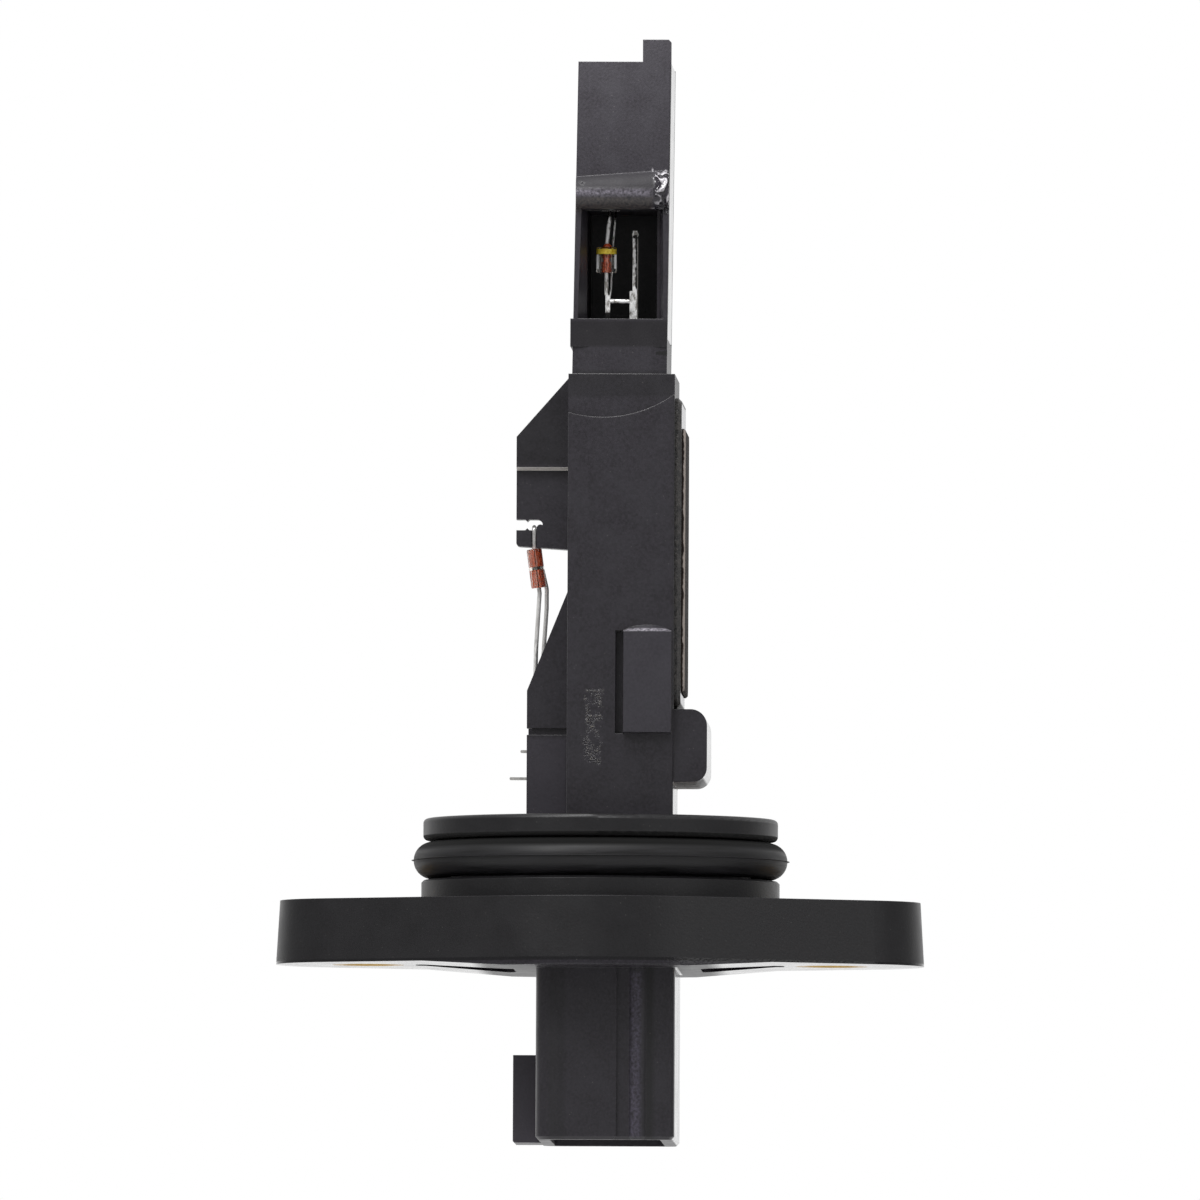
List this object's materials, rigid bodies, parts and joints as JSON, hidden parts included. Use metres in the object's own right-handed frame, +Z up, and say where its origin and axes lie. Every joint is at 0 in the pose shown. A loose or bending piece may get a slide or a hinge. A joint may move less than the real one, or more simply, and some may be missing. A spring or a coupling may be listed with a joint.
{
  "type": "mass airflow sensor",
  "caption": "Plug-in mass airflow sensor: slim black probe with a measuring window and hanging thermistor, seal ring, screw flange and plug.",
  "frame": {"origin": "midway between the two screw holes, on the flange face that seats on the duct", "axes": "+Z up the probe to its tip, +X across the probe's thin side towards the circuit cover, +Y along the air flow"},
  "size_m": [0.063, 0.0396, 0.1068],
  "materials": {
    "moulded_plastic": "fine satin grain",
    "cover_plastic": "satin",
    "seal_rubber": "satin",
    "sealant": "satin",
    "bush_metal": "machined",
    "plate_metal": "rolled",
    "terminal_metal": "tin plated",
    "lead_metal": "tinned wire",
    "bond_metal": "drawn wire",
    "board_ceramic": "matt",
    "chip_plastic": "matt",
    "capacitor_ceramic": "matt",
    "clear_glass": "clear",
    "stud_metal": "copper clad, oxidised",
    "sensor_chip": "matt"
  },
  "bodies": {
    "root": {"housing": "moulded_plastic", "passage_cover": "cover_plastic", "cover_plate": "plate_metal", "cover_sheet": "cover_plastic", "sealant_bead": "sealant", "seal_ring": "seal_rubber", "mounting_bush_left": "bush_metal", "mounting_bush_right": "bush_metal", "base_plate": "plate_metal", "circuit_board": "board_ceramic", "control_chip": "chip_plastic", "power_transistor": "chip_plastic", "capacitor_1": "capacitor_ceramic", "capacitor_2": "capacitor_ceramic", "capacitor_3": "capacitor_ceramic", "resistor_1": "chip_plastic", "resistor_2": "chip_plastic", "resistor_3": "chip_plastic", "bond_wires": "bond_metal", "thermistor_terminal_upper": "terminal_metal", "thermistor_terminal_lower": "terminal_metal", "element_post_short": "terminal_metal", "element_post_tall": "terminal_metal", "element_post_rear": "terminal_metal", "element_roof_strip": "terminal_metal", "thermistor_glass": "clear_glass", "thermistor_stud_upper": "stud_metal", "thermistor_stud_lower": "stud_metal", "thermistor_chip": "sensor_chip", "thermistor_lead_upper": "lead_metal", "thermistor_lead_lower": "lead_metal", "element_glass": "clear_glass", "element_stud_upper": "stud_metal", "element_stud_lower": "stud_metal", "element_chip": "sensor_chip", "element_lead_upper": "lead_metal", "element_lead_lower": "lead_metal", "element_link": "lead_metal", "measuring_wire": "lead_metal", "connector_terminal_1": "terminal_metal", "connector_terminal_2": "terminal_metal", "connector_terminal_3": "terminal_metal", "connector_terminal_4": "terminal_metal", "connector_terminal_5": "terminal_metal"}
  },
  "joints": []
}
